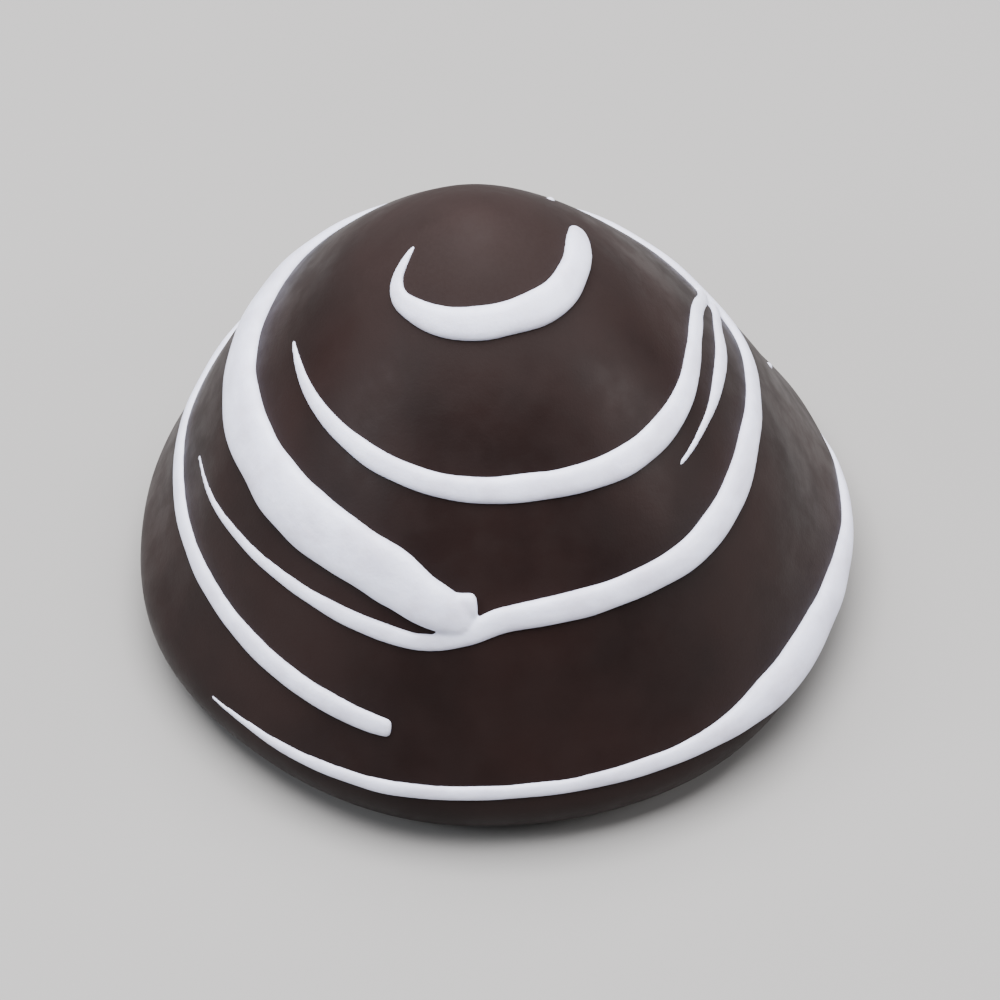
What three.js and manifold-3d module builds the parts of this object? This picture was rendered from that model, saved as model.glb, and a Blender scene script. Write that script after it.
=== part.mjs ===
// A strawberry dipped whole in dark chocolate, then striped with piped white chocolate.
// It stands tip up on the flat foot where the soft coat pooled and set.
// Millimetres, +Z up. Azimuths are degrees from the front (-Y) towards +X, heights are above the foot.
import * as THREE from 'three';
import Module from 'manifold-3d';

const { PI, cos, exp, max, min, sin, sqrt } = Math;

// ---- Driving dimensions of the dipped berry ----
const BERRY_HEIGHT = 32.7;
const SHOULDER_HEIGHT = 2.4; // the dome springs from here, and the cut foot lies below it
const DOME_RADIUS = 21.85; // the dome's spread at the shoulder, before the pooled rim is added
const FULLNESS = 1.63; // 1 is a straight cone, more is a fuller dome
const TIP_ROUND = 3.7; // how blunt the tip is
const RIM_SWELL = 1.25; // the pooled rim stands this far outside the dome at the shoulder
const RIM_HEIGHT = 4.1; // and fades out over this height
const FOOT_ROUND = 5.0; // below this height the rim rolls under onto the flat foot
const FOOT_TUCK = 3.6; // and comes in this far by the time it is flat
const TIP_LEAN = 1.3; // the tip leans this far towards -X
const LEAN_POWER = 1.5; // most of the lean comes near the tip

// The berry under the coat isn't round: each swell adds depth * cos(waves * azimuth) that fades to the tip.
const BERRY_SWELLS = [
  { waves: 1, depth: 0.15, facing: -130, twist: 0 },
  { waves: 2, depth: 0.5, facing: -13, twist: 2.3 },
  { waves: 5, depth: 0.07, facing: -25, twist: 0.8 },
];
// The pooled rim has an outline of its own, which fades out above and below the shoulder.
const RIM_SWELLS = [
  { waves: 4, depth: 0.16, facing: 20, twist: 0 },
  { waves: 7, depth: 0.1, facing: -14, twist: 0 },
];

// ---- Driving dimensions of the piped stripes ----
const GAP = 0.3; // clear space kept between a stripe and the coat
const THICKNESS_FLOOR = 0.15; // a stripe's thickness is this
const THICKNESS_SHARE = 0.25; // and this share of its width
const THICKNESS_LIMIT = 0.95; // but never more than this
const CROWN_POWER = 0.8; // below 1 the top is flatter than a half round

// Each stripe's route over the coat, end to end: [azimuth, height, width] at a few places.
const TIP_CRESCENT = [
  [117, 28.5, 1.1], [109, 28.8, 1.6], [96, 29.15, 2.0], [75, 29.4, 2.15], [57, 29.4, 2.3],
  [38, 29.45, 2.35], [18, 29.45, 2.2], [-2, 29.35, 2.1], [-20, 29.2, 1.95], [-39, 29.15, 1.6],
  [-54, 29.2, 1.25], [-63, 29.65, 0.95], [-70, 30.4, 0.7], [-77, 31.1, 0.35],
];
const UPPER_LOOP = [
  [122, 17.3, 0.95], [117, 18.25, 0.95], [112, 19.35, 1.0], [106, 20.3, 1.1], [99, 20.9, 1.2],
  [93, 21.25, 1.25], [79, 21.6, 1.5], [60, 21.55, 1.85], [42, 21.5, 1.95], [14, 21.8, 1.8],
  [-14, 21.85, 1.6], [-38, 22.05, 1.45], [-60, 22.45, 1.0], [-74, 22.75, 0.75], [-85, 22.95, 0.3],
];
const FINE_STRAND = [
  [119, 16.9, 0.95], [113, 17.6, 0.9], [106, 18.4, 0.9], [95, 19.0, 1.15], [84, 19.45, 1.05],
  [70, 19.7, 0.65], [54, 19.55, 0.38],
];
const BROAD_BAND = [
  [-3.2, 15.2, 1.7], [-6, 15.2, 2.3], [-9, 15.45, 2.9], [-14, 15.9, 3.45], [-20, 16.55, 3.85],
  [-30, 17.05, 3.95], [-46, 17.3, 4.1], [-66, 17.7, 3.95], [-90, 18.15, 3.6], [-111, 18.9, 3.1],
  [-133, 19.5, 2.1], [-150, 19.1, 1.5], [-168, 18.2, 1.35], [-185, 17.8, 1.3],
];
const BAND_STUB = [[-10, 15.8, 1.6], [-2.3, 15.95, 1.65]];
const MAIN_LOOP = [
  [178, 17.8, 1.3], [160, 18.3, 1.2], [146, 19.0, 1.15], [134, 18.7, 1.2], [124, 17.5, 1.3],
  [117, 16.3, 1.3], [111, 15.65, 1.35], [104, 15.6, 1.45], [96, 15.9, 1.6], [89, 16.1, 1.65],
  [77, 16.25, 2.0], [62, 15.9, 2.2], [47, 15.45, 2.1], [30, 15.45, 1.9], [14, 15.45, 1.85],
  [2, 15.1, 1.65], [-5, 14.2, 1.3], [-12, 13.6, 1.15], [-21, 13.55, 1.25], [-35, 13.6, 1.1],
  [-50, 13.45, 0.85], [-70, 13.1, 0.6], [-86, 12.8, 0.3],
];
const SHOULDER_RUN = [BROAD_BAND, BAND_STUB, MAIN_LOOP, UPPER_LOOP, FINE_STRAND];
const FOOT_LOOP = [
  [-17.3, 8.05, 1.15], [-21, 8.12, 1.35], [-27, 8.27, 1.5], [-36, 8.5, 1.5], [-60, 9.2, 1.4],
  [-88, 9.9, 1.3], [-108, 10.5, 1.2], [-128, 11.2, 1.2], [-152, 11.2, 1.3], [-182, 10.0, 1.35],
  [-200, 8.3, 1.2], [-212, 6.5, 1.0], [-220, 5.0, 0.8], [-228, 3.9, 0.6], [-238, 3.4, 0.52],
  [-246, 3.4, 0.55], [-252, 3.75, 0.85], [-257, 4.1, 1.1], [-262, 4.3, 1.3], [-270, 4.45, 1.5],
  [-278, 4.7, 2.05], [-287, 4.75, 2.5], [-299, 4.75, 2.9], [-310, 4.85, 2.6], [-322, 4.95, 1.6],
  [-340, 5.05, 1.1], [-358, 5.05, 1.0], [-380, 4.6, 1.0], [-395, 4.4, 0.8], [-412, 4.3, 0.3],
];

// ---- Mesh fineness ----
const COAT_SEGMENTS = 64;
const COAT_RINGS = 32;
const CROWN_STEPS = 6; // facets over a stripe's rounded top
const STRIPE_STEP = 1.9; // length of a stripe's facets
const END_STEPS = [0.1, 0.45, 1]; // sections in a stripe's rounded end, in shares of its half width
const ROUTE_SAMPLES = 400;

const COAT = { color: 0x35262a, roughness: 0.42, metalness: 0 };
const STRIPE = { color: 0xdcdbe6, roughness: 0.45, metalness: 0 };

const radians = THREE.MathUtils.degToRad;
const wasm = await Module();
wasm.setup();

// The sum of cosine waves round the berry; a twist turns a wave by degrees for each mm of height.
function swellAt(swells, azimuth, height) {
  const wave = ({ waves, depth, facing, twist }) =>
    depth * cos(radians(waves * (azimuth - facing - twist * height)));
  return swells.reduce((sum, swell) => sum + wave(swell), 0);
}

// How far the dome has run out sideways at this drop below the tip; the tip itself is a small round.
function domeRun(drop) {
  return sqrt(drop * (drop + 2 * TIP_ROUND));
}

// The coat's radius: a full cone-like dome, the pooled rim at its shoulder and the roll under the rim.
function coatRadius(azimuth, height) {
  const fall = min(1, domeRun(BERRY_HEIGHT - height) / domeRun(BERRY_HEIGHT - SHOULDER_HEIGHT));
  const dome = DOME_RADIUS * (1 - (1 - fall) ** FULLNESS);
  const fade = exp(-(((height - SHOULDER_HEIGHT) / RIM_HEIGHT) ** 2));
  const under = max(0, 1 - height / FOOT_ROUND);
  const tuck = FOOT_TUCK * (1 - sqrt(1 - under ** 2));
  const uneven = (dome / DOME_RADIUS) * swellAt(BERRY_SWELLS, azimuth, height);
  return dome + uneven + fade * (RIM_SWELL + swellAt(RIM_SWELLS, azimuth, height)) - tuck;
}

// The point of the coat's surface at an azimuth and height.
function coatPoint(azimuth, height) {
  const radius = coatRadius(azimuth, height);
  const lean = TIP_LEAN * (height / BERRY_HEIGHT) ** LEAN_POWER;
  return new THREE.Vector3(
    radius * sin(radians(azimuth)) - lean,
    -radius * cos(radians(azimuth)),
    height,
  );
}

// The coat's local frame: the surface point, its change for one degree and for one mm up, and its normal.
function coatFrame(azimuth, height) {
  const turn = 0.5;
  const rise = 0.02;
  const point = coatPoint(azimuth, height);
  const perDegree = coatPoint(azimuth + turn, height).sub(point).divideScalar(turn);
  const perMillimetre = coatPoint(azimuth, height + rise).sub(point).divideScalar(rise);
  const normal = perDegree.clone().cross(perMillimetre).normalize();
  return { point, perDegree, perMillimetre, normal };
}

// A closed skin over rings of equal count, shut by a fan to one point before the first and after the last.
function skin(rings, startPoint, endPoint) {
  const count = rings[0].length;
  const points = [startPoint, ...rings.flat(), endPoint];
  const last = points.length - 1;
  const at = (ring, place) => 1 + ring * count + (place % count);
  const triangles = [];
  for (let place = 0; place < count; place += 1) {
    triangles.push(0, at(0, place + 1), at(0, place));
    for (let ring = 0; ring < rings.length - 1; ring += 1) {
      triangles.push(at(ring, place), at(ring, place + 1), at(ring + 1, place + 1));
      triangles.push(at(ring, place), at(ring + 1, place + 1), at(ring + 1, place));
    }
    triangles.push(last, at(rings.length - 1, place), at(rings.length - 1, place + 1));
  }
  const geometry = new THREE.BufferGeometry().setFromPoints(points);
  geometry.setIndex(triangles);
  return geometry;
}

// The dipped berry as one solid: rings up the coat, closest at the rolled foot and at the round tip.
function coatedBerry() {
  const rings = [];
  for (let level = 0; level < COAT_RINGS; level += 1) {
    const height = (BERRY_HEIGHT * (1 - cos((PI * level) / COAT_RINGS))) / 2;
    const ring = [];
    for (let segment = 0; segment < COAT_SEGMENTS; segment += 1) {
      ring.push(coatPoint((360 * segment) / COAT_SEGMENTS, height));
    }
    rings.push(ring);
  }
  return skin(rings, new THREE.Vector3(), new THREE.Vector3(-TIP_LEAN, 0, BERRY_HEIGHT));
}

// A stripe's route as a smooth curve in azimuth, height and width, read by distance along the coat.
function stripeRoute(places) {
  const controls = places.map(([azimuth, height, width]) => new THREE.Vector3(azimuth, height, width));
  const curve = new THREE.CatmullRomCurve3(controls, false, 'centripetal');
  const samples = curve.getPoints(ROUTE_SAMPLES);
  const distances = [0];
  for (let index = 1; index < samples.length; index += 1) {
    const from = coatPoint(samples[index - 1].x, samples[index - 1].y);
    const to = coatPoint(samples[index].x, samples[index].y);
    distances.push(distances[index - 1] + from.distanceTo(to));
  }
  const length = distances.at(-1);
  const placeAt = (distance) => {
    const found = distances.findIndex((reached) => reached > distance);
    const upper = found < 1 ? samples.length - 1 : found;
    const share = (distance - distances[upper - 1]) / (distances[upper] - distances[upper - 1]);
    return samples[upper - 1].clone().lerp(samples[upper], share);
  };
  return { length, placeAt };
}

// Distances of a stripe's sections: close together in the rounded ends, even in between.
function sectionDistances(length, startHalf, endHalf) {
  const inner = length - startHalf - endHalf;
  const steps = max(2, Math.round(inner / STRIPE_STEP));
  const middle = Array.from({ length: steps - 1 }, (_, index) => startHalf + (inner * (index + 1)) / steps);
  const start = END_STEPS.map((share) => share * startHalf);
  const end = END_STEPS.map((share) => length - share * endHalf).reverse();
  return [...start, ...middle, ...end];
}

// One section across a stripe: a low crown over a base that follows the coat, clear of it by the gap.
function stripeSection(route, distance, halfWidth) {
  const step = 0.05;
  const here = route.placeAt(distance);
  const { perDegree, perMillimetre, normal } = coatFrame(here.x, here.y);
  const along = route.placeAt(distance + step).sub(route.placeAt(distance - step));
  const ahead = perDegree.clone().multiplyScalar(along.x).addScaledVector(perMillimetre, along.y);
  const across = normal.clone().cross(ahead).normalize();
  const turn = across.dot(perDegree) / perDegree.lengthSq();
  const rise = across.dot(perMillimetre) / perMillimetre.lengthSq();
  const place = (offset, lift) => {
    const { point, normal: up } = coatFrame(here.x + turn * offset, here.y + rise * offset);
    return point.addScaledVector(up, GAP + lift);
  };
  const thickness = min(THICKNESS_LIMIT, THICKNESS_FLOOR + THICKNESS_SHARE * 2 * halfWidth);
  const section = [];
  for (let index = 0; index <= CROWN_STEPS; index += 1) {
    const angle = (PI * index) / CROWN_STEPS;
    section.push(place(halfWidth * cos(angle), thickness * max(0, sin(angle)) ** CROWN_POWER));
  }
  section.push(place(0, 0));
  return section;
}

function centreOf(points) {
  return points.reduce((sum, point) => sum.add(point), new THREE.Vector3()).divideScalar(points.length);
}

// One piped stripe: its sections along the route, with both ends rounded in plan.
function stripe(places) {
  const route = stripeRoute(places);
  const startHalf = places[0][2] / 2;
  const endHalf = places.at(-1)[2] / 2;
  const rings = sectionDistances(route.length, startHalf, endHalf).map((distance) => {
    const fromStart = min(1, distance / startHalf);
    const fromEnd = min(1, (route.length - distance) / endHalf);
    const rounding = sqrt(1 - (1 - min(fromStart, fromEnd)) ** 2);
    return stripeSection(route, distance, (route.placeAt(distance).z / 2) * rounding);
  });
  return skin(rings, centreOf(rings[0]), centreOf(rings.at(-1)));
}

// Joins stripes that ran into each other while they were soft into one solid.
function united(geometries) {
  const solids = geometries.map((geometry) => {
    const vertProperties = Float32Array.from(geometry.getAttribute('position').array);
    const triVerts = Uint32Array.from(geometry.getIndex().array);
    return new wasm.Manifold(new wasm.Mesh({ numProp: 3, vertProperties, triVerts }));
  });
  const joined = solids.reduce((sum, solid) => sum.add(solid)).getMesh();
  const geometry = new THREE.BufferGeometry();
  geometry.setAttribute('position', new THREE.BufferAttribute(joined.vertProperties, 3));
  geometry.setIndex(new THREE.BufferAttribute(joined.triVerts, 1));
  return geometry;
}

function piece(name, geometry, look) {
  geometry.computeVertexNormals();
  const mesh = new THREE.Mesh(geometry, new THREE.MeshStandardMaterial(look));
  mesh.name = name;
  return mesh;
}

const strawberry = new THREE.Group();
strawberry.add(
  piece('coated_strawberry', coatedBerry(), COAT),
  piece('tip_stripe', stripe(TIP_CRESCENT), STRIPE),
  piece('shoulder_stripes', united(SHOULDER_RUN.map(stripe)), STRIPE),
  piece('foot_stripe', stripe(FOOT_LOOP), STRIPE),
);

// The origin is the centre of the whole part's box, on the floor.
const box = new THREE.Box3().setFromObject(strawberry);
const centre = box.getCenter(new THREE.Vector3());
strawberry.position.set(-centre.x, -centre.y, -box.min.z);

export default strawberry;
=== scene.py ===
"""A strawberry in a dark chocolate coat with piped white chocolate stripes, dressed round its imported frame.

The form of the berry and the routes of the stripes are worked in millimetres, azimuths in degrees from the
front (-Y) towards +X and heights above the foot. The frame says how large a millimetre of that form is and
where the foot stands. Every finished piece is in metres, in the frame.
"""

import logging
from dataclasses import dataclass, field
from enum import Enum
from typing import Any, Iterable, Sequence

import bpy
import numpy as np
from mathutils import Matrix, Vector


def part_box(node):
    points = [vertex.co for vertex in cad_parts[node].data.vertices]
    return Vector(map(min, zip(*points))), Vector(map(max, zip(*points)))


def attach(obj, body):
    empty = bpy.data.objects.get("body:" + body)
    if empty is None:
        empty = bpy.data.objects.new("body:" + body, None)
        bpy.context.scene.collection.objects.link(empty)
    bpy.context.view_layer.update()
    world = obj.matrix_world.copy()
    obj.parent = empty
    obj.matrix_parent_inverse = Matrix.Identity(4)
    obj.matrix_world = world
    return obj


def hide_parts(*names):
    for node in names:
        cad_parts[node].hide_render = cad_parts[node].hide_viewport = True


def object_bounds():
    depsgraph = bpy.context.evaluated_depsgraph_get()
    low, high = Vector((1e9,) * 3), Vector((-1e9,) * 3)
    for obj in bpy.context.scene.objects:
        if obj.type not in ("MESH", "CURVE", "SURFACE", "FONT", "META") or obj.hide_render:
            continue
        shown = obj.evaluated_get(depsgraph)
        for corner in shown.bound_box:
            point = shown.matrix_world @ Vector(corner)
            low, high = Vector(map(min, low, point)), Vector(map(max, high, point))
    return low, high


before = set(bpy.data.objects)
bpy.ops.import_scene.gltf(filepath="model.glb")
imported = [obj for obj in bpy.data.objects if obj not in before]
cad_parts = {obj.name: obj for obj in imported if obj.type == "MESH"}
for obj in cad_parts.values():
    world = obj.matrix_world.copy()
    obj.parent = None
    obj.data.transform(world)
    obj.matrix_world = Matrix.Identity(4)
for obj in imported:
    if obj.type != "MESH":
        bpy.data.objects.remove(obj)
CAD_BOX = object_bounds()

COAT_NODE = "coated_strawberry"
DARK_SLOT = "dark_chocolate"
WHITE_SLOT = "white_chocolate"

WANDER_WAVES = 4
WANDER_SHRINK = 0.8**1.9
WANDER_GAIN = 1.6
BOX_TURNS = 721
BOX_LEVELS = 400
SHORTEST = 1e-12

log = logging.getLogger("coated_strawberry")


# ------------------------------------------------------------------------------------------------
# Small tools for arrays and meshes
# ------------------------------------------------------------------------------------------------


def wander(distance: np.ndarray, pitch: float, seed: int) -> np.ndarray:
    """A smooth, aimless line, mostly between -1 and 1: sines of seeded phase, each shorter by a third.

    Args:
        distance: Places along the line, in millimetres.
        pitch: The longest wave, in millimetres.
        seed: Fixes the phases, so that every run gives the same line.

    Returns:
        The line's height at each place.
    """
    phases = np.random.default_rng(seed).uniform(0.0, 2.0 * np.pi, WANDER_WAVES)
    pitches = pitch * WANDER_SHRINK ** np.arange(WANDER_WAVES)
    waves = np.sin(2.0 * np.pi * distance[..., None] / pitches + phases)
    return waves.mean(axis=-1) * WANDER_GAIN


def catmull_rom(controls: np.ndarray, samples: int) -> np.ndarray:
    """A smooth curve through every control: a centripetal Catmull-Rom spline, with its ends mirrored.

    Args:
        controls: One row of values for each control.
        samples: How many rows to return, evenly spread over the spans between controls.

    Returns:
        The rows along the curve.
    """
    ends = (2.0 * controls[0] - controls[1], 2.0 * controls[-1] - controls[-2])
    knots = np.vstack([ends[0], controls, ends[1]])
    place = np.linspace(0.0, len(controls) - 1.0, samples)
    index = np.minimum(place.astype(int), len(controls) - 2)
    u = (place - index)[:, None]
    before, start, stop, after = (knots[index + step] for step in range(4))
    first, middle, final = (
        np.sqrt(np.linalg.norm(b - a, axis=1, keepdims=True))
        for a, b in ((before, start), (start, stop), (stop, after))
    )
    out = (start - before) / first - (stop - before) / (first + middle) + (stop - start) / middle
    into = (stop - start) / middle - (after - start) / (middle + final) + (after - stop) / final
    out, into = out * middle, into * middle
    return (
        (2 * u**3 - 3 * u**2 + 1) * start
        + (u**3 - 2 * u**2 + u) * out
        + (3 * u**2 - 2 * u**3) * stop
        + (u**3 - u**2) * into
    )


def ring_faces(rings: int, count: int) -> tuple[np.ndarray, np.ndarray]:
    """Faces of a skin over closed rings, with a fan to one point before the first and after the last ring.

    Vertices are the start point, the rings one after another, then the end point. Faces look outwards when
    the step round a ring, crossed with the step to the next ring, points outwards.

    Args:
        rings: Number of rings.
        count: Vertices in each ring.

    Returns:
        The quads between rings and the triangles of both fans.
    """
    place = np.arange(count)
    onward = (place + 1) % count
    level = 1 + count * np.arange(rings)[:, None]
    quads = np.stack(
        [level[:-1] + place, level[:-1] + onward, level[1:] + onward, level[1:] + place], axis=-1
    ).reshape(-1, 4)
    last = 1 + rings * count
    foot = np.stack([np.zeros_like(place), 1 + onward, 1 + place], axis=-1)
    head = np.stack([np.full_like(place, last), level[-1, 0] + place, level[-1, 0] + onward], axis=-1)
    return quads, np.concatenate([foot, head])


@dataclass
class Shell:
    """A closed skin as arrays: points in millimetres and faces as quads and triangles."""

    points: np.ndarray
    quads: np.ndarray
    triangles: np.ndarray

    @classmethod
    def over_rings(cls, rings: np.ndarray, start: np.ndarray, end: np.ndarray) -> "Shell":
        """Skins an array of rings (ring, place, xyz) and shuts both ends to a point."""
        quads, triangles = ring_faces(rings.shape[0], rings.shape[1])
        return cls(np.vstack([start, rings.reshape(-1, 3), end]), quads, triangles)

    @classmethod
    def together(cls, shells: Sequence["Shell"]) -> "Shell":
        """Puts several shells into one, each still closed."""
        starts = np.cumsum([0] + [len(shell.points) for shell in shells[:-1]])
        return cls(
            np.vstack([shell.points for shell in shells]),
            np.vstack([shell.quads + start for shell, start in zip(shells, starts)]),
            np.vstack([shell.triangles + start for shell, start in zip(shells, starts)]),
        )

    def mesh(self, name: str) -> bpy.types.Mesh:
        """Writes the shell into a smooth-shaded Blender mesh, in the shell's own units."""
        mesh = bpy.data.meshes.new(name)
        faces = np.concatenate([self.quads.ravel(), self.triangles.ravel()])
        sizes = np.concatenate([np.full(len(self.quads), 4), np.full(len(self.triangles), 3)])
        mesh.vertices.add(len(self.points))
        mesh.vertices.foreach_set("co", self.points.astype(np.float32).ravel())
        mesh.loops.add(len(faces))
        mesh.loops.foreach_set("vertex_index", faces.astype(np.int32))
        mesh.polygons.add(len(sizes))
        mesh.polygons.foreach_set("loop_start", (np.cumsum(sizes) - sizes).astype(np.int32))
        mesh.polygons.foreach_set("use_smooth", np.ones(len(sizes), dtype=bool))
        mesh.update(calc_edges=True)
        mesh.validate()
        return mesh


# ------------------------------------------------------------------------------------------------
# Shader tools
# ------------------------------------------------------------------------------------------------


class Wire:
    """One value in a material, wrapped so that arithmetic on it adds Math nodes."""

    def __init__(self, bench: "ShaderBench", socket: bpy.types.NodeSocket) -> None:
        """Keeps the bench that the value lives on and its socket."""
        self.bench = bench
        self.socket = socket

    def _math(self, operation: str, *values: Any) -> "Wire":
        """Adds one Math node over the values and returns its result."""
        inputs = dict(enumerate(values))
        return self.bench.node("ShaderNodeMath", {"operation": operation}, inputs)

    def __add__(self, other: Any) -> "Wire":
        """This value plus another."""
        return self._math("ADD", self, other)

    def __radd__(self, other: Any) -> "Wire":
        """Another value plus this one."""
        return self._math("ADD", other, self)

    def __sub__(self, other: Any) -> "Wire":
        """This value less another."""
        return self._math("SUBTRACT", self, other)

    def __rsub__(self, other: Any) -> "Wire":
        """Another value less this one."""
        return self._math("SUBTRACT", other, self)

    def __mul__(self, other: Any) -> "Wire":
        """This value times another."""
        return self._math("MULTIPLY", self, other)

    def __rmul__(self, other: Any) -> "Wire":
        """Another value times this one."""
        return self._math("MULTIPLY", other, self)

    def between(self, low: float, high: float, start: float = 0.0, stop: float = 1.0) -> "Wire":
        """Eases the value from start to stop as it passes from low to high, and holds it outside.

        Args:
            low: Where the change begins.
            high: Where it is complete.
            start: The result at and below low.
            stop: The result at and above high.

        Returns:
            The eased value.
        """
        return self.bench.node(
            "ShaderNodeMapRange",
            {"interpolation_type": "SMOOTHSTEP"},
            {"Value": self, "From Min": low, "From Max": high, "To Min": start, "To Max": stop},
        )


class ShaderBench:
    """A new material's node tree, with one way to add any node."""

    def __init__(self, name: str) -> None:
        """Starts a material with nothing but its output.

        Args:
            name: The material's name.
        """
        self.material = bpy.data.materials.new(name)
        self.material.use_nodes = True
        self.tree = self.material.node_tree
        self.tree.nodes.clear()
        self.output = self.tree.nodes.new("ShaderNodeOutputMaterial")

    def node(self, kind: str, settings: dict[str, Any], inputs: dict[Any, Any], output: Any = 0) -> Wire:
        """Adds a node, sets it up and feeds its sockets.

        Args:
            kind: The node's type.
            settings: The node's own settings, set before its sockets.
            inputs: Values or wires, by socket name or number.
            output: Name or number of the output to return.

        Returns:
            The chosen output as a wire.
        """
        node = self.tree.nodes.new(kind)
        for key, value in settings.items():
            setattr(node, key, value)
        for key, value in inputs.items():
            if isinstance(value, Wire):
                self.tree.links.new(value.socket, node.inputs[key])
            else:
                node.inputs[key].default_value = value
        return Wire(self, node.outputs[output])

    def place(self) -> Wire:
        """The point on the piece, in the frame's metres."""
        return self.node("ShaderNodeTexCoord", {}, {}, "Object")

    def height(self) -> Wire:
        """The point's height above the floor, in metres."""
        return self.node("ShaderNodeSeparateXYZ", {}, {0: self.place()}, "Z")

    def noise(self, size: float, detail: float = 2.0, roughness: float = 0.5) -> Wire:
        """Cloudy noise between 0 and 1.

        Args:
            size: Width of its largest blobs, in millimetres.
            detail: How many finer octaves it has.
            roughness: How strong the finer octaves are.

        Returns:
            The noise value.
        """
        inputs = {"Vector": self.place(), "Scale": 1000.0 / size, "Detail": detail, "Roughness": roughness}
        return self.node("ShaderNodeTexNoise", {"noise_dimensions": "3D"}, inputs, "Fac")

    def blend(self, share: Any, under: Any, over: Any) -> Wire:
        """Mixes two colours.

        Args:
            share: How much of the second colour shows.
            under: The first colour.
            over: The second colour.

        Returns:
            The mixed colour.
        """
        inputs = {"Factor": share, 6: under, 7: over}
        return self.node("ShaderNodeMix", {"data_type": "RGBA"}, inputs, 2)

    def bump(self, height: Wire, depth: float, strength: float, base: Wire | None = None) -> Wire:
        """A bumped normal.

        Args:
            height: The relief, from 0 to 1.
            depth: How deep a relief of 1 is, in millimetres.
            strength: How much of it is used.
            base: A normal that is already bumped.

        Returns:
            The new normal.
        """
        inputs: dict[Any, Any] = {"Height": height, "Distance": depth / 1000.0, "Strength": strength}
        if base is not None:
            inputs["Normal"] = base
        return self.node("ShaderNodeBump", {}, inputs, "Normal")

    def finish(self, inputs: dict[str, Any]) -> bpy.types.Material:
        """Adds the surface shader, feeds it and joins it to the output.

        Args:
            inputs: The surface shader's sockets by name.

        Returns:
            The finished material.
        """
        surface = self.node("ShaderNodeBsdfPrincipled", {}, inputs, "BSDF")
        self.tree.links.new(surface.socket, self.output.inputs["Surface"])
        return self.material


Colour = tuple[float, float, float, float]


@dataclass(frozen=True)
class DarkCoatFinish:
    """Set dark chocolate: a satin brown-black with a faint cocoa butter film, painted light that makes it
    lighter and greyer towards the tip, small dull patches and fine grain.
    """

    deep: Colour = (0.0094, 0.0050, 0.0047, 1.0)
    warm: Colour = (0.0150, 0.0077, 0.0070, 1.0)
    # Painted light mixed with a cocoa butter film: a lighter, greyer brown laid over the top of the berry,
    # where the light from above falls.
    bloom_and_painted_top_light: Colour = (0.0215, 0.0138, 0.0130, 1.0)
    gloss: tuple[float, float] = (0.40, 0.52)
    spread: tuple[float, float] = (0.3, 0.7)
    cloud_size: float = 9.0
    patch_size: float = 2.6
    grain_size: float = 0.22
    grain_depth: float = 0.014
    grain_strength: float = 0.6
    ripple_size: float = 2.4
    ripple_depth: float = 0.035
    ripple_strength: float = 0.5
    # Where the painted top light begins and where it is full, as shares of the height, and how much of it
    # shows; patches and grain thin it.
    painted_top_light_from: float = 0.74
    painted_top_light_full: float = 0.95
    bloom_and_painted_light_share: float = 0.8
    bloom_dulls: float = 0.3
    bloom_and_painted_light_least_on_patches: float = 0.6
    bloom_and_painted_light_least_on_grain: float = 0.7
    refraction: float = 1.46
    shine: float = 0.16

    def material(self, height: float) -> bpy.types.Material:
        """Makes the coat's material.

        Args:
            height: The berry's height in metres; the cocoa butter film and the painted top light gather
                towards its tip.

        Returns:
            The material.
        """
        bench = ShaderBench("dark_chocolate_coat")
        clouds = bench.noise(self.cloud_size, detail=3.0)
        patches = bench.noise(self.patch_size, detail=3.0, roughness=0.6)
        grain = bench.noise(self.grain_size, roughness=0.7)
        mottled = bench.blend(clouds.between(*self.spread), self.deep, self.warm)
        # Painted light: the coat turns lighter and greyer towards its tip, as if lit from above, broken up by
        # patches and grain like a cocoa butter film.
        upward = bench.height().between(height * self.painted_top_light_from, height * self.painted_top_light_full)
        patchy = patches.between(*self.spread, self.bloom_and_painted_light_least_on_patches, 1.0)
        grainy = grain.between(*self.spread, self.bloom_and_painted_light_least_on_grain, 1.0)
        bloom_and_painted_top_light_mask = upward * patchy * grainy
        colour = bench.blend(bloom_and_painted_top_light_mask * self.bloom_and_painted_light_share, mottled, self.bloom_and_painted_top_light)
        dull = patches.between(*self.spread, *self.gloss) + upward * self.bloom_dulls
        ripples = bench.noise(self.ripple_size)
        rippled = bench.bump(ripples, self.ripple_depth, self.ripple_strength)
        normal = bench.bump(grain, self.grain_depth, self.grain_strength, rippled)
        return bench.finish(
            {
                "Base Color": colour,
                "Roughness": dull,
                "IOR": self.refraction,
                "Specular IOR Level": self.shine,
                "Normal": normal,
            }
        )


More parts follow.
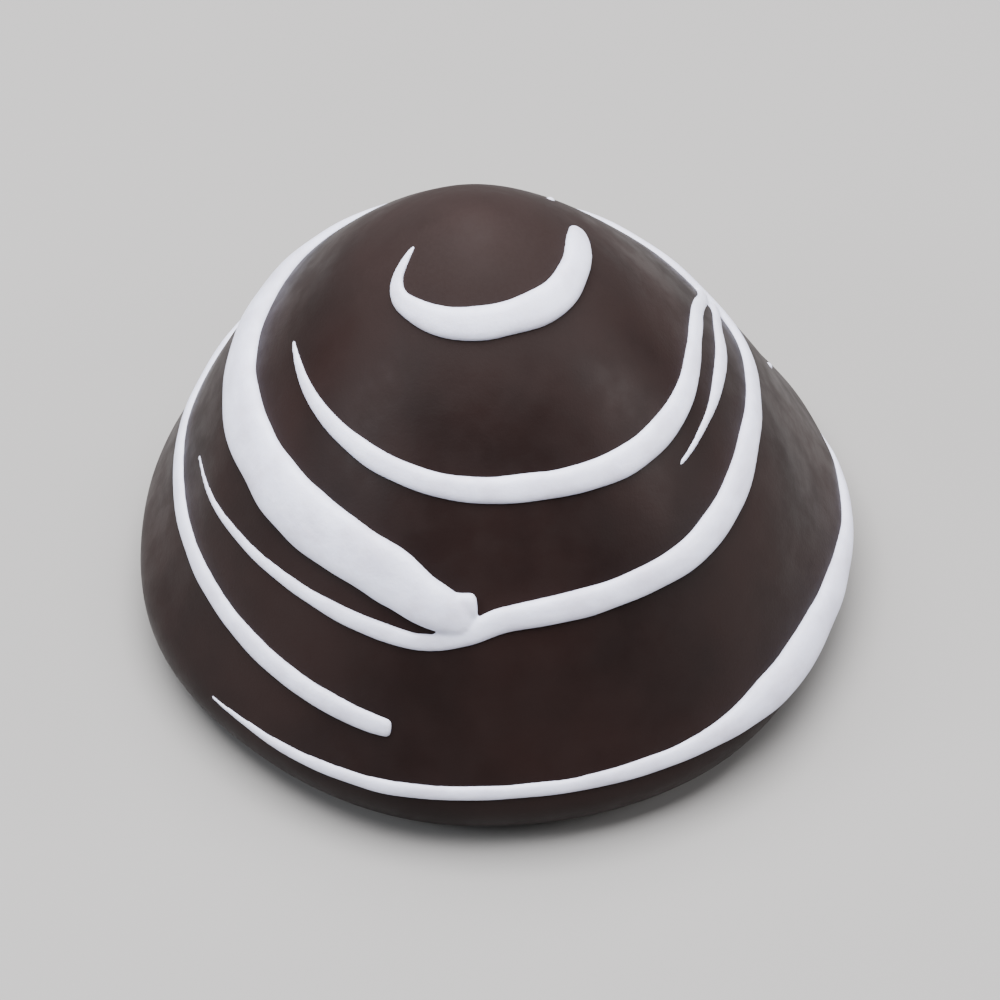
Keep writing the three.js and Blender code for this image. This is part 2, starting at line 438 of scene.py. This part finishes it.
@dataclass(frozen=True)
class WhitePipingFinish:
    """Set white chocolate: a cool white, slightly see-through at its edges, satin and finely grained."""

    milk: Colour = (0.72, 0.74, 0.90, 1.0)
    shade: Colour = (0.60, 0.60, 0.73, 1.0)
    gloss: tuple[float, float] = (0.36, 0.50)
    shade_spread: tuple[float, float] = (0.35, 0.75)
    gloss_spread: tuple[float, float] = (0.3, 0.7)
    cloud_size: float = 2.2
    grain_size: float = 0.2
    grain_depth: float = 0.008
    grain_strength: float = 0.5
    dimple_size: float = 0.8
    dimple_depth: float = 0.08
    dimple_strength: float = 0.6
    refraction: float = 1.45
    see_through: float = 0.18
    glow_reach: tuple[float, float, float] = (1.0, 0.85, 0.7)
    glow_scale: float = 0.0006

    def material(self) -> bpy.types.Material:
        """Makes the stripes' material.

        Returns:
            The material.
        """
        bench = ShaderBench("white_chocolate_piping")
        clouds = bench.noise(self.cloud_size, detail=3.0)
        grain = bench.noise(self.grain_size, roughness=0.6)
        dimples = bench.noise(self.dimple_size, detail=3.0)
        soft = bench.bump(dimples, self.dimple_depth, self.dimple_strength)
        return bench.finish(
            {
                "Base Color": bench.blend(clouds.between(*self.shade_spread), self.milk, self.shade),
                "Roughness": clouds.between(*self.gloss_spread, *self.gloss),
                "IOR": self.refraction,
                "Subsurface Weight": self.see_through,
                "Subsurface Radius": self.glow_reach,
                "Subsurface Scale": self.glow_scale,
                "Normal": bench.bump(grain, self.grain_depth, self.grain_strength, soft),
            }
        )


@dataclass(frozen=True)
class FloorFinish:
    """A plain pale matt board."""

    pale: Colour = (0.245, 0.24, 0.235, 1.0)
    paler: Colour = (0.265, 0.26, 0.255, 1.0)
    cloud_size: float = 40.0
    dullness: float = 0.75

    def material(self) -> bpy.types.Material:
        """Makes the floor's material.

        Returns:
            The material.
        """
        bench = ShaderBench("pale_floor")
        colour = bench.blend(bench.noise(self.cloud_size), self.pale, self.paler)
        return bench.finish({"Base Color": colour, "Roughness": self.dullness})


# ------------------------------------------------------------------------------------------------
# The form that everything lies on
# ------------------------------------------------------------------------------------------------


@dataclass(frozen=True)
class Swell:
    """One cosine wave round the berry: its count, depth, facing and turn for each millimetre of height."""

    waves: int
    depth: float
    facing: float
    twist: float = 0.0

    def at(self, azimuth: np.ndarray, height: np.ndarray) -> np.ndarray:
        """depth * cos(waves * (azimuth - facing - twist * height)), in millimetres."""
        return self.depth * np.cos(np.radians(self.waves * (azimuth - self.facing - self.twist * height)))


@dataclass(frozen=True)
class BerryForm:
    """The dipped berry's surface in millimetres: a blunt, full cone on a rolled foot, uneven all over."""

    height: float = 32.7
    shoulder_height: float = 2.4
    dome_radius: float = 21.85
    fullness: float = 1.63
    tip_round: float = 3.7
    rim_swell: float = 1.25
    rim_height: float = 4.1
    foot_round: float = 5.0
    foot_tuck: float = 3.6
    tip_lean: float = 1.3
    lean_power: float = 1.5
    berry_swells: tuple[Swell, ...] = (
        Swell(1, 0.15, -130),
        Swell(2, 0.5, -13, 2.3),
        Swell(5, 0.07, -25, 0.8),
    )
    rim_swells: tuple[Swell, ...] = (Swell(4, 0.16, 20), Swell(7, 0.1, -14))
    ripple_count: int = 28
    ripple_pitch: tuple[float, float] = (5.0, 14.0)
    ripple_depth: float = 0.008
    ripple_seed: int = 11

    def run(self, drop: np.ndarray | float) -> np.ndarray:
        """How far the dome runs out by a drop below the tip: root of drop * (drop + 2 * tip round)."""
        return np.sqrt(np.maximum(drop, 0.0) * (drop + 2.0 * self.tip_round))

    def radius(self, azimuth: np.ndarray, height: np.ndarray) -> np.ndarray:
        """The coat's radius: a full cone-like dome, plus the pooled rim, less the roll under the rim.

        Args:
            azimuth: Degrees from the front.
            height: Millimetres above the foot.

        Returns:
            The radius in millimetres.
        """
        whole_run = self.run(self.height - self.shoulder_height)
        fall = np.minimum(1.0, self.run(self.height - height) / whole_run)
        dome = self.dome_radius * (1.0 - (1.0 - fall) ** self.fullness)
        fade = np.exp(-(((height - self.shoulder_height) / self.rim_height) ** 2))
        under = np.clip(1.0 - height / self.foot_round, 0.0, 1.0)
        tuck = self.foot_tuck * (1.0 - np.sqrt(1.0 - under**2))
        uneven = dome / self.dome_radius * sum(swell.at(azimuth, height) for swell in self.berry_swells)
        rim = fade * (self.rim_swell + sum(swell.at(azimuth, height) for swell in self.rim_swells))
        return dome + uneven + rim - tuck

    def smooth_points(self, azimuth: np.ndarray, height: np.ndarray) -> np.ndarray:
        """Points of the form without ripples, leaning a little towards -X at the tip."""
        radius = self.radius(azimuth, height)
        lean = self.tip_lean * (np.maximum(height, 0.0) / self.height) ** self.lean_power
        turn = np.radians(azimuth)
        return np.stack([radius * np.sin(turn) - lean, -radius * np.cos(turn), height], axis=-1)

    def ripples(self, points: np.ndarray) -> np.ndarray:
        """The set coat's faint waviness: plane sine waves of seeded direction, length and phase, summed."""
        draw = np.random.default_rng(self.ripple_seed)
        directions = draw.normal(size=(self.ripple_count, 3))
        directions /= np.linalg.norm(directions, axis=1, keepdims=True)
        pitches = draw.uniform(*self.ripple_pitch, self.ripple_count)
        phases = draw.uniform(0.0, 2.0 * np.pi, self.ripple_count)
        travel = points @ directions.T / pitches * 2.0 * np.pi + phases
        return self.ripple_depth * np.sin(travel).sum(axis=-1)

    def points(self, azimuth: np.ndarray, height: np.ndarray, lift: np.ndarray | float = 0.0) -> np.ndarray:
        """Points of the rippled coat, lifted off it along its normal.

        Args:
            azimuth: Degrees from the front.
            height: Millimetres above the foot.
            lift: Millimetres outwards from the coat.

        Returns:
            The points in millimetres.
        """
        base = self.smooth_points(azimuth, height)
        normal = self.tangents(azimuth, height)[2]
        rise = self.ripples(base) * np.clip(height / self.foot_round, 0.0, 1.0) + lift
        return base + normal * rise[..., None]

    def tip(self) -> np.ndarray:
        """The rippled coat's point on top, where the normal points straight up."""
        base = self.smooth_points(np.zeros(1), np.full(1, self.height))
        base[:, 2] += self.ripples(base)
        return base[0]

    def tangents(
        self, azimuth: np.ndarray, height: np.ndarray
    ) -> tuple[np.ndarray, np.ndarray, np.ndarray]:
        """How the form changes for one degree and for one millimetre up, and its outward normal.

        Args:
            azimuth: Degrees from the front.
            height: Millimetres above the foot.

        Returns:
            The two changes and the unit normal.
        """
        turn, rise = 0.25, 0.02
        back = self.smooth_points(azimuth - turn, height)
        fore = self.smooth_points(azimuth + turn, height)
        per_degree = (fore - back) / (2.0 * turn)
        low = np.clip(height - rise, 0.0, self.height)
        high = np.clip(height + rise, 0.0, self.height)
        below = self.smooth_points(azimuth, low)
        above = self.smooth_points(azimuth, high)
        per_millimetre = (above - below) / (high - low)[..., None]
        normal = np.cross(per_degree, per_millimetre)
        length = np.linalg.norm(normal, axis=-1, keepdims=True)
        return per_degree, per_millimetre, normal / np.maximum(length, SHORTEST)


@dataclass(frozen=True)
class Seat:
    """Where the berry stands: the metres in one millimetre of the form, and the place of its foot."""

    unit: float
    foot: np.ndarray

    @classmethod
    def from_frame(cls, form: BerryForm) -> "Seat":
        """Fits the form's box to the coat's CAD box: the height sets the unit, the plan's middle the place.

        Args:
            form: The berry's form.

        Returns:
            The seat.
        """
        low, high = (np.array(corner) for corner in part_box(COAT_NODE))
        unit = float((high - low)[2] / form.height)
        turns = np.linspace(0.0, 360.0, BOX_TURNS)
        levels = np.linspace(0.0, form.height, BOX_LEVELS)
        azimuth, height = np.meshgrid(turns, levels)
        own = form.smooth_points(azimuth, height).reshape(-1, 3)
        own_middle = (own.min(axis=0) + own.max(axis=0)) / 2.0
        foot = (low + high) / 2.0 - unit * own_middle
        foot[2] = low[2]
        return cls(unit, foot)

    def piece(self, name: str, mesh: bpy.types.Mesh, material: bpy.types.Material) -> bpy.types.Object:
        """Brings a mesh from millimetres to its place in the frame and makes it a piece.

        Args:
            name: The piece's name.
            mesh: A mesh in the form's millimetres.
            material: Its finish.

        Returns:
            The new object, at the origin.
        """
        place = np.empty(len(mesh.vertices) * 3, dtype=np.float32)
        mesh.vertices.foreach_get("co", place)
        seated = place.reshape(-1, 3) * self.unit + self.foot
        mesh.vertices.foreach_set("co", seated.astype(np.float32).ravel())
        mesh.name = name
        mesh.materials.clear()
        mesh.materials.append(material)
        mesh.update()
        piece = bpy.data.objects.new(name, mesh)
        bpy.context.scene.collection.objects.link(piece)
        return piece


def register(piece: bpy.types.Object, slot: str, node: str | None = None) -> None:
    """Puts a piece on the one body, hides the CAD node that it stands for, and logs it with its slot.

    Args:
        piece: The finished piece.
        slot: The record's material slot.
        node: The CAD node that it replaces, if any.
    """
    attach(piece, "root")
    if node is not None:
        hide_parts(node)
    log.info("%s: %d faces, slot %s", piece.name, len(piece.data.polygons), slot)


# ------------------------------------------------------------------------------------------------
# The coated berry
# ------------------------------------------------------------------------------------------------


@dataclass
class CoatedBerry:
    """The berry in its dark coat: one closed skin from the flat foot to the tip."""

    form: BerryForm
    seat: Seat
    segments: int = 400
    rings: int = 236
    foot_rings: int = 10
    finish: DarkCoatFinish = field(default_factory=DarkCoatFinish)

    def shell(self) -> Shell:
        """Rings across the flat foot, then up the coat.

        The foot's rings shrink evenly to its middle at height 0. The coat's rings rise by half a cosine, so
        that they are closest at the rolled foot and at the round tip.
        """
        azimuth = np.arange(self.segments) * 360.0 / self.segments
        climb = (1.0 - np.cos(np.pi * np.arange(self.rings) / self.rings)) / 2.0 * self.form.height
        turns, heights = np.meshgrid(azimuth, climb)
        coat = self.form.points(turns, heights)
        middle = np.zeros(3)
        shares = np.arange(1, self.foot_rings)[:, None, None] / self.foot_rings
        foot = middle + (coat[0] - middle) * shares
        return Shell.over_rings(np.concatenate([foot, coat]), middle, self.form.tip())

    def build(self) -> bpy.types.Object:
        """Makes the coat's piece and dresses it."""
        material = self.finish.material(self.form.height * self.seat.unit)
        piece = self.seat.piece("dark_coat", self.shell().mesh("dark_coat"), material)
        register(piece, DARK_SLOT, COAT_NODE)
        return piece


# ------------------------------------------------------------------------------------------------
# The piped stripes
# ------------------------------------------------------------------------------------------------


class EndShape(Enum):
    """How a stripe ends; the value is the length of its rounding, in half widths."""

    BLUNT = 0.5
    ROUND = 1.0
    PULLED = 3.0


@dataclass(frozen=True)
class Stripe:
    """One piped stripe over the coat.

    The route lists azimuth, height and width at a few places. The section is a low crown, flatter than
    a half round, whose base is sunk a little into the coat. Width, height and line wander a little.
    """

    route: tuple[tuple[float, float, float], ...]
    start: EndShape = EndShape.ROUND
    end: EndShape = EndShape.ROUND
    seed: int = 0
    thickness_floor: float = 0.15
    thickness_share: float = 0.25
    thickness_limit: float = 0.95
    side_power: float = 0.8
    crown_power: float = 0.72
    sink: float = 0.14
    step: float = 0.12
    crown_count: int = 33
    base_count: int = 6
    samples: int = 3000
    end_power: float = 0.6
    width_play: float = 0.03
    width_pitch: float = 12.0
    line_play: float = 0.02
    line_pitch: float = 14.0
    height_play: float = 0.06
    height_pitch: float = 16.0

    def stations(self, form: BerryForm) -> tuple[np.ndarray, np.ndarray, float]:
        """Evenly spaced places along the route, measured over the coat.

        Args:
            form: The berry's form.

        Returns:
            Rows of azimuth, height and width, their distances along the route, and its length.
        """
        line = catmull_rom(np.array(self.route, dtype=float), self.samples)
        steps = np.linalg.norm(np.diff(form.smooth_points(line[:, 0], line[:, 1]), axis=0), axis=1)
        reached = np.concatenate([[0.0], np.cumsum(steps)])
        length = float(reached[-1])
        count = int(np.ceil(length / self.step))
        distance = length * (np.arange(count) + 0.5) / count
        rows = np.stack([np.interp(distance, reached, line[:, k]) for k in range(3)], axis=-1)
        return rows, distance, length

    def rounding(self, distance: np.ndarray, length: float) -> np.ndarray:
        """The share of its width that the stripe has near its ends.

        Each end is a quarter ellipse in plan on either side, and a quarter circle where it is ROUND.

        Args:
            distance: Places along the stripe, in millimetres.
            length: The stripe's whole length.

        Returns:
            The share at each place, from 0 at an end to 1.
        """
        reach = [self.route[0][2] / 2.0 * self.start.value, self.route[-1][2] / 2.0 * self.end.value]
        inward = np.minimum(distance / reach[0], (length - distance) / reach[1])
        return np.sqrt(1.0 - (1.0 - np.clip(inward, 0.0, 1.0)) ** 2)

    def section(self) -> tuple[np.ndarray, np.ndarray]:
        """The section's points, from one edge over the crown to the other, then back along the base.

        The crown's offset is cos(angle) and its lift sin(angle), each raised to its own power. The base
        is straight.

        Returns:
            The offsets in half widths and the lifts in thicknesses.
        """
        angle = np.linspace(0.0, np.pi, self.crown_count)
        side, top = np.cos(angle), np.sin(angle).clip(0.0, 1.0)
        side = np.sign(side) * np.abs(side) ** self.side_power
        base = np.linspace(-1.0, 1.0, self.base_count + 2)[1:-1]
        offsets = np.concatenate([side, base])
        lifts = np.concatenate([top**self.crown_power, np.zeros_like(base)])
        return offsets, lifts

    def shell(self, form: BerryForm) -> Shell:
        """Carries the section along the route.

        An offset across the stripe is turned into degrees and millimetres of height on the form, so that
        the stripe hugs it however wide it is.

        Args:
            form: The berry's form.

        Returns:
            The stripe's closed shell.
        """
        rows, distance, length = self.stations(form)
        azimuth, height, width = rows.T
        per_degree, per_millimetre, normal = form.tangents(azimuth, height)
        ahead_turn, ahead_rise = np.gradient(azimuth), np.gradient(height)
        ahead = per_degree * ahead_turn[:, None] + per_millimetre * ahead_rise[:, None]
        across = np.cross(normal, ahead)
        across /= np.linalg.norm(across, axis=1, keepdims=True)
        turn = (across * per_degree).sum(axis=1) / (per_degree**2).sum(axis=1)
        rise = (across * per_millimetre).sum(axis=1) / (per_millimetre**2).sum(axis=1)

        rounding = self.rounding(distance, length)
        thickness = self.thickness_floor + self.thickness_share * width
        thickness = np.minimum(self.thickness_limit, thickness) * rounding**self.end_power
        widths = wander(distance, self.width_pitch, self.seed)
        lines = wander(distance, self.line_pitch, self.seed + 1)
        heights = wander(distance, self.height_pitch, self.seed + 2)
        thickness = thickness * (1.0 + self.height_play * heights)
        half = width / 2.0 * rounding * (1.0 + self.width_play * widths)
        shift = self.line_play * lines * np.minimum(1.0, width)

        offsets, lifts = self.section()
        offset = half[:, None] * offsets + shift[:, None]
        lift = thickness[:, None] * lifts - self.sink
        rings = form.points(
            azimuth[:, None] + turn[:, None] * offset, height[:, None] + rise[:, None] * offset, lift
        )
        return Shell.over_rings(rings, rings[0].mean(axis=0), rings[-1].mean(axis=0))


@dataclass(frozen=True)
class Fleck:
    """A tiny drop of white chocolate flicked onto the coat: place and radius, in the form's units."""

    azimuth: float
    height: float
    radius: float
    steepness: float = 0.7
    sink: float = 0.05
    rings: int = 10
    segments: int = 20

    def shell(self, form: BerryForm) -> Shell:
        """A low dome: rings from its edge to its top, as high as steepness * radius * sin(angle) - sink."""
        per_degree, per_millimetre, _ = form.tangents(np.array([self.azimuth]), np.array([self.height]))
        angle = np.linspace(0.0, np.pi / 2.0, self.rings, endpoint=False)[:, None]
        turn = 2.0 * np.pi * np.arange(self.segments) / self.segments
        plan = self.radius * np.cos(angle)
        azimuth = self.azimuth + plan * np.cos(turn) / np.linalg.norm(per_degree)
        height = self.height + plan * np.sin(turn) / np.linalg.norm(per_millimetre)
        lift = self.steepness * self.radius * np.sin(angle) - self.sink
        rings = form.points(azimuth, height, lift)
        peak = np.array([self.steepness * self.radius - self.sink])
        top = form.points(np.array([self.azimuth]), np.array([self.height]), peak)[0]
        return Shell.over_rings(rings, rings[0].mean(axis=0), top)


@dataclass
class PipedStripes:
    """All the white chocolate: each run of stripes is fused into one soft-edged piece."""

    form: BerryForm
    seat: Seat
    finish: WhitePipingFinish = field(default_factory=WhitePipingFinish)
    voxel: float = 0.115
    ease: float = 0.5
    ease_rounds: int = 8
    tip: tuple[Stripe, ...] = (
        Stripe(
            (
                (117, 28.5, 1.1), (109, 28.8, 1.6), (96, 29.15, 2.0), (75, 29.4, 2.15),
                (57, 29.4, 2.3), (38, 29.45, 2.35), (18, 29.45, 2.2), (-2, 29.35, 2.1),
                (-20, 29.2, 1.95), (-39, 29.15, 1.6), (-54, 29.2, 1.25), (-63, 29.65, 0.95),
                (-70, 30.4, 0.7), (-77, 31.1, 0.35),
            ),
            end=EndShape.PULLED,
            seed=3,
        ),
    )
    shoulder: tuple[Stripe, ...] = (
        Stripe(
            (
                (-3.2, 15.2, 1.7), (-6, 15.2, 2.3), (-9, 15.45, 2.9), (-14, 15.9, 3.45),
                (-20, 16.55, 3.85), (-30, 17.05, 3.95), (-46, 17.3, 4.1), (-66, 17.7, 3.95),
                (-90, 18.15, 3.6), (-111, 18.9, 3.1), (-133, 19.5, 2.1), (-150, 19.1, 1.5),
                (-168, 18.2, 1.35), (-185, 17.8, 1.3),
            ),
            seed=20,
        ),
        Stripe(((-10, 15.8, 1.6), (-2.3, 15.95, 1.65)), end=EndShape.BLUNT, seed=24),
        Stripe(
            (
                (178, 17.8, 1.3), (160, 18.3, 1.2), (146, 19.0, 1.15), (134, 18.7, 1.2),
                (124, 17.5, 1.3), (117, 16.3, 1.3), (111, 15.65, 1.35), (104, 15.6, 1.45),
                (96, 15.9, 1.6), (89, 16.1, 1.65), (77, 16.25, 2.0), (62, 15.9, 2.2),
                (47, 15.45, 2.1), (30, 15.45, 1.9), (14, 15.45, 1.85), (2, 15.1, 1.65),
                (-5, 14.2, 1.3), (-12, 13.6, 1.15), (-21, 13.55, 1.25), (-35, 13.6, 1.1),
                (-50, 13.45, 0.85), (-70, 13.1, 0.6), (-86, 12.8, 0.3),
            ),
            end=EndShape.PULLED,
            seed=30,
        ),
        Stripe(
            (
                (122, 17.3, 0.95), (117, 18.25, 0.95), (112, 19.35, 1.0), (106, 20.3, 1.1),
                (99, 20.9, 1.2), (93, 21.25, 1.25), (79, 21.6, 1.5), (60, 21.55, 1.85),
                (42, 21.5, 1.95), (14, 21.8, 1.8), (-14, 21.85, 1.6), (-38, 22.05, 1.45),
                (-60, 22.45, 1.0), (-74, 22.75, 0.75), (-85, 22.95, 0.3),
            ),
            end=EndShape.PULLED,
            seed=40,
        ),
        Stripe(
            (
                (119, 16.9, 0.95), (113, 17.6, 0.9), (106, 18.4, 0.9), (95, 19.0, 1.15),
                (84, 19.45, 1.05), (70, 19.7, 0.65), (54, 19.55, 0.38),
            ),
            end=EndShape.PULLED,
            seed=50,
        ),
    )
    foot: tuple[Stripe, ...] = (
        Stripe(
            (
                (-17.3, 8.05, 1.15), (-21, 8.12, 1.35), (-27, 8.27, 1.5), (-36, 8.5, 1.5),
                (-60, 9.2, 1.4), (-88, 9.9, 1.3), (-108, 10.5, 1.2), (-128, 11.2, 1.2),
                (-152, 11.2, 1.3), (-182, 10.0, 1.35), (-200, 8.3, 1.2), (-212, 6.5, 1.0),
                (-220, 5.0, 0.8), (-228, 3.9, 0.6), (-238, 3.4, 0.52), (-246, 3.4, 0.55),
                (-252, 3.75, 0.85), (-257, 4.1, 1.1), (-262, 4.3, 1.3), (-270, 4.45, 1.5),
                (-278, 4.7, 2.05), (-287, 4.75, 2.5), (-299, 4.75, 2.9), (-310, 4.85, 2.6),
                (-322, 4.95, 1.6), (-340, 5.05, 1.1), (-358, 5.05, 1.0), (-380, 4.6, 1.0),
                (-395, 4.4, 0.8), (-412, 4.3, 0.3),
            ),
            start=EndShape.BLUNT,
            end=EndShape.PULLED,
            seed=60,
        ),
    )
    flecks: tuple[Fleck, ...] = (Fleck(151, 26.3, 0.28), Fleck(119, 9.3, 0.26))

    def fused(self, name: str, stripes: Iterable[Stripe]) -> bpy.types.Mesh:
        """Melts overlapping stripes into one skin: an even voxel skin over them, then eased.

        Args:
            name: The mesh's name.
            stripes: The stripes that ran together.

        Returns:
            The fused mesh, still in millimetres.
        """
        rough = Shell.together([stripe.shell(self.form) for stripe in stripes]).mesh(name)
        holder = bpy.data.objects.new(name, rough)
        bpy.context.scene.collection.objects.link(holder)
        melt = holder.modifiers.new("melt", "REMESH")
        melt.mode = "VOXEL"
        melt.voxel_size = self.voxel
        melt.use_smooth_shade = True
        ease = holder.modifiers.new("ease", "SMOOTH")
        ease.factor = self.ease
        ease.iterations = self.ease_rounds
        graph = bpy.context.evaluated_depsgraph_get()
        mesh = bpy.data.meshes.new_from_object(holder.evaluated_get(graph))
        bpy.data.objects.remove(holder)
        bpy.data.meshes.remove(rough)
        return mesh

    def build(self) -> list[bpy.types.Object]:
        """Makes the three runs of stripes and the flecks, and dresses them."""
        material = self.finish.material()
        pieces = []
        runs = (
            ("tip_piping", self.tip, "tip_stripe"),
            ("shoulder_piping", self.shoulder, "shoulder_stripes"),
            ("foot_piping", self.foot, "foot_stripe"),
        )
        for name, stripes, node in runs:
            pieces.append(self.seat.piece(name, self.fused(name, stripes), material))
            register(pieces[-1], WHITE_SLOT, node)
        drops = Shell.together([fleck.shell(self.form) for fleck in self.flecks]).mesh("white_flecks")
        pieces.append(self.seat.piece("white_flecks", drops, material))
        register(pieces[-1], WHITE_SLOT)
        return pieces


# ------------------------------------------------------------------------------------------------
# Studio
# ------------------------------------------------------------------------------------------------


@dataclass(frozen=True)
class SoftBox:
    """A square soft light: its place and size in berry widths from the foot, its power and its colour."""

    name: str
    place: tuple[float, float, float]
    size: float
    power: float
    colour: tuple[float, float, float]


@dataclass
class Studio:
    """A pale floor, soft boxes and a long-lens camera that looks down at the front."""

    lights: tuple[SoftBox, ...] = (
        SoftBox("top_box", (-0.5, 1.0, 9.0), 10.0, 8.6, (1.0, 0.99, 1.0)),
        SoftBox("left_box", (-6.6, -2.4, 3.8), 2.5, 0.65, (0.93, 0.96, 1.0)),
        SoftBox("right_box", (7.1, -1.0, 3.5), 3.5, 0.75, (1.0, 0.98, 0.98)),
    )
    elevation: float = 47.0
    lens: float = 500.0
    frame_share: float = 0.72
    aim_height: float = 0.22
    world_colour: Colour = (0.80, 0.82, 0.86, 1.0)
    world_strength: float = 0.2
    floor_half: float = 3.0
    clip: tuple[float, float] = (0.05, 50.0)

    def floor(self) -> bpy.types.Object:
        """The floor: one large square at height 0."""
        signs = ((-1, -1), (1, -1), (1, 1), (-1, 1))
        corners = [(x * self.floor_half, y * self.floor_half, 0.0) for x, y in signs]
        mesh = bpy.data.meshes.new("floor")
        mesh.from_pydata(corners, [], [(0, 1, 2, 3)])
        mesh.materials.append(FloorFinish().material())
        floor = bpy.data.objects.new("floor", mesh)
        bpy.context.scene.collection.objects.link(floor)
        return floor

    def light(self, box: SoftBox, width: float) -> None:
        """Hangs one soft box, turned to the foot.

        Args:
            box: Its place in berry widths, size and power.
            width: The berry's width in metres.
        """
        data = bpy.data.lights.new(box.name, "AREA")
        data.shape = "SQUARE"
        data.size = box.size * width
        data.energy = box.power
        data.color = box.colour
        lamp = bpy.data.objects.new(box.name, data)
        lamp.location = Vector(box.place) * width
        lamp.rotation_mode = "QUATERNION"
        lamp.rotation_quaternion = (-lamp.location).to_track_quat("-Z", "Y")
        bpy.context.scene.collection.objects.link(lamp)

    def camera(self, width: float, height: float) -> None:
        """Sets up the camera in front, looking down, with the berry's width filling its share.

        Args:
            width: The berry's width in metres.
            height: The berry's height in metres.
        """
        data = bpy.data.cameras.new("camera")
        data.lens = self.lens
        distance = width / self.frame_share * data.lens / data.sensor_width
        slope = np.radians(self.elevation)
        back = Vector((0.0, -float(np.cos(slope)), float(np.sin(slope))))
        camera = bpy.data.objects.new("camera", data)
        camera.location = Vector((0.0, 0.0, height * self.aim_height)) + back * distance
        camera.rotation_mode = "QUATERNION"
        camera.rotation_quaternion = (-back).to_track_quat("-Z", "Y")
        near, far = self.clip
        data.clip_start = distance * near
        data.clip_end = distance * far
        bpy.context.scene.collection.objects.link(camera)
        bpy.context.scene.camera = camera

    def sky(self) -> None:
        """An even, pale surround."""
        world = bpy.data.worlds.new("surround")
        world.use_nodes = True
        background = world.node_tree.nodes["Background"]
        background.inputs["Color"].default_value = self.world_colour
        background.inputs["Strength"].default_value = self.world_strength
        bpy.context.scene.world = world

    def build(self) -> None:
        """Sets up floor, surround, lights and camera for the size of the CAD box."""
        low, high = CAD_BOX
        width, height = high.x - low.x, high.z - low.z
        self.floor()
        self.sky()
        for box in self.lights:
            self.light(box, width)
        self.camera(width, height)
        log.info("studio: %d soft boxes, camera %g degrees up", len(self.lights), self.elevation)


def main() -> None:
    """Builds the studio, the coated berry and its stripes in order."""
    logging.basicConfig(level=logging.INFO, format="%(name)s: %(message)s")
    Studio().build()
    form = BerryForm()
    seat = Seat.from_frame(form)
    CoatedBerry(form, seat).build()
    PipedStripes(form, seat).build()


if __name__ == "__main__":
    main()
